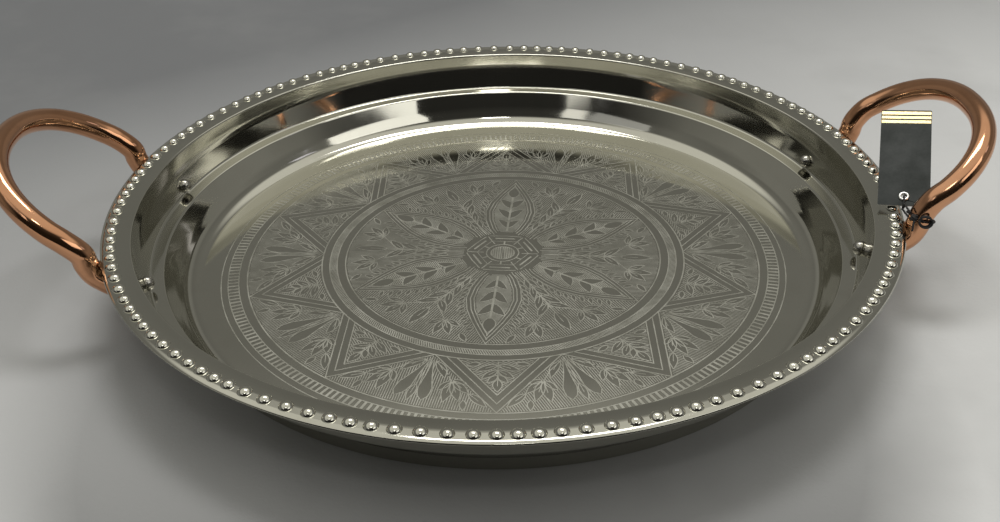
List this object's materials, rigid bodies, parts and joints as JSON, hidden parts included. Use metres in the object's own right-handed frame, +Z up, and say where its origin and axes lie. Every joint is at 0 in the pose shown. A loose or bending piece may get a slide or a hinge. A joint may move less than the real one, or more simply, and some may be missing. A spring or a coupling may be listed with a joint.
{
  "type": "handled serving tray",
  "caption": "Round polished serving tray with a beaded rim, stepped wall, etched floor, bent-tube handles screwed to the wall and a hang tag tied on with cord.",
  "frame": {"origin": "centre of the tray's foot ring, on the surface the tray stands on", "axes": "+X towards the handle with the tag, -X towards the other handle, -Y towards the viewer of the picture, +Z up"},
  "size_m": [0.4962, 0.4, 0.0873],
  "materials": {
    "polished_nickel": "mirror polished, warm nickel tone",
    "copper_finish": "polished copper plate",
    "brass_plug": "turned",
    "screw_steel": "polished",
    "printed_card": "matte print with foil bands",
    "eyelet_metal": "bright",
    "black_cord": "soft waxed cord"
  },
  "bodies": {
    "tray": {"tray_body": "polished_nickel", "left_handle": "copper_finish", "right_handle": "copper_finish", "handle_plug_left_rear": "brass_plug", "handle_plug_left_front": "brass_plug", "handle_plug_right_rear": "brass_plug", "handle_plug_right_front": "brass_plug", "handle_screw_left_rear": "screw_steel", "handle_screw_left_front": "screw_steel", "handle_screw_right_rear": "screw_steel", "handle_screw_right_front": "screw_steel"},
    "hang_tag": {"tag_card": "printed_card", "tag_eyelet": "eyelet_metal", "tag_cord_wrap": "black_cord", "tag_cord_hanger": "black_cord", "tag_cord_bow": "black_cord", "tag_knot": "black_cord"}
  },
  "joints": [
    {"name": "tag_swing", "type": "hinge", "parent": "tray", "child": "hang_tag", "pos_m": [0.2005, -0.0514, 0.0448], "axis": [0.28, 0, 0.96], "range_deg": [0, 65]}
  ]
}
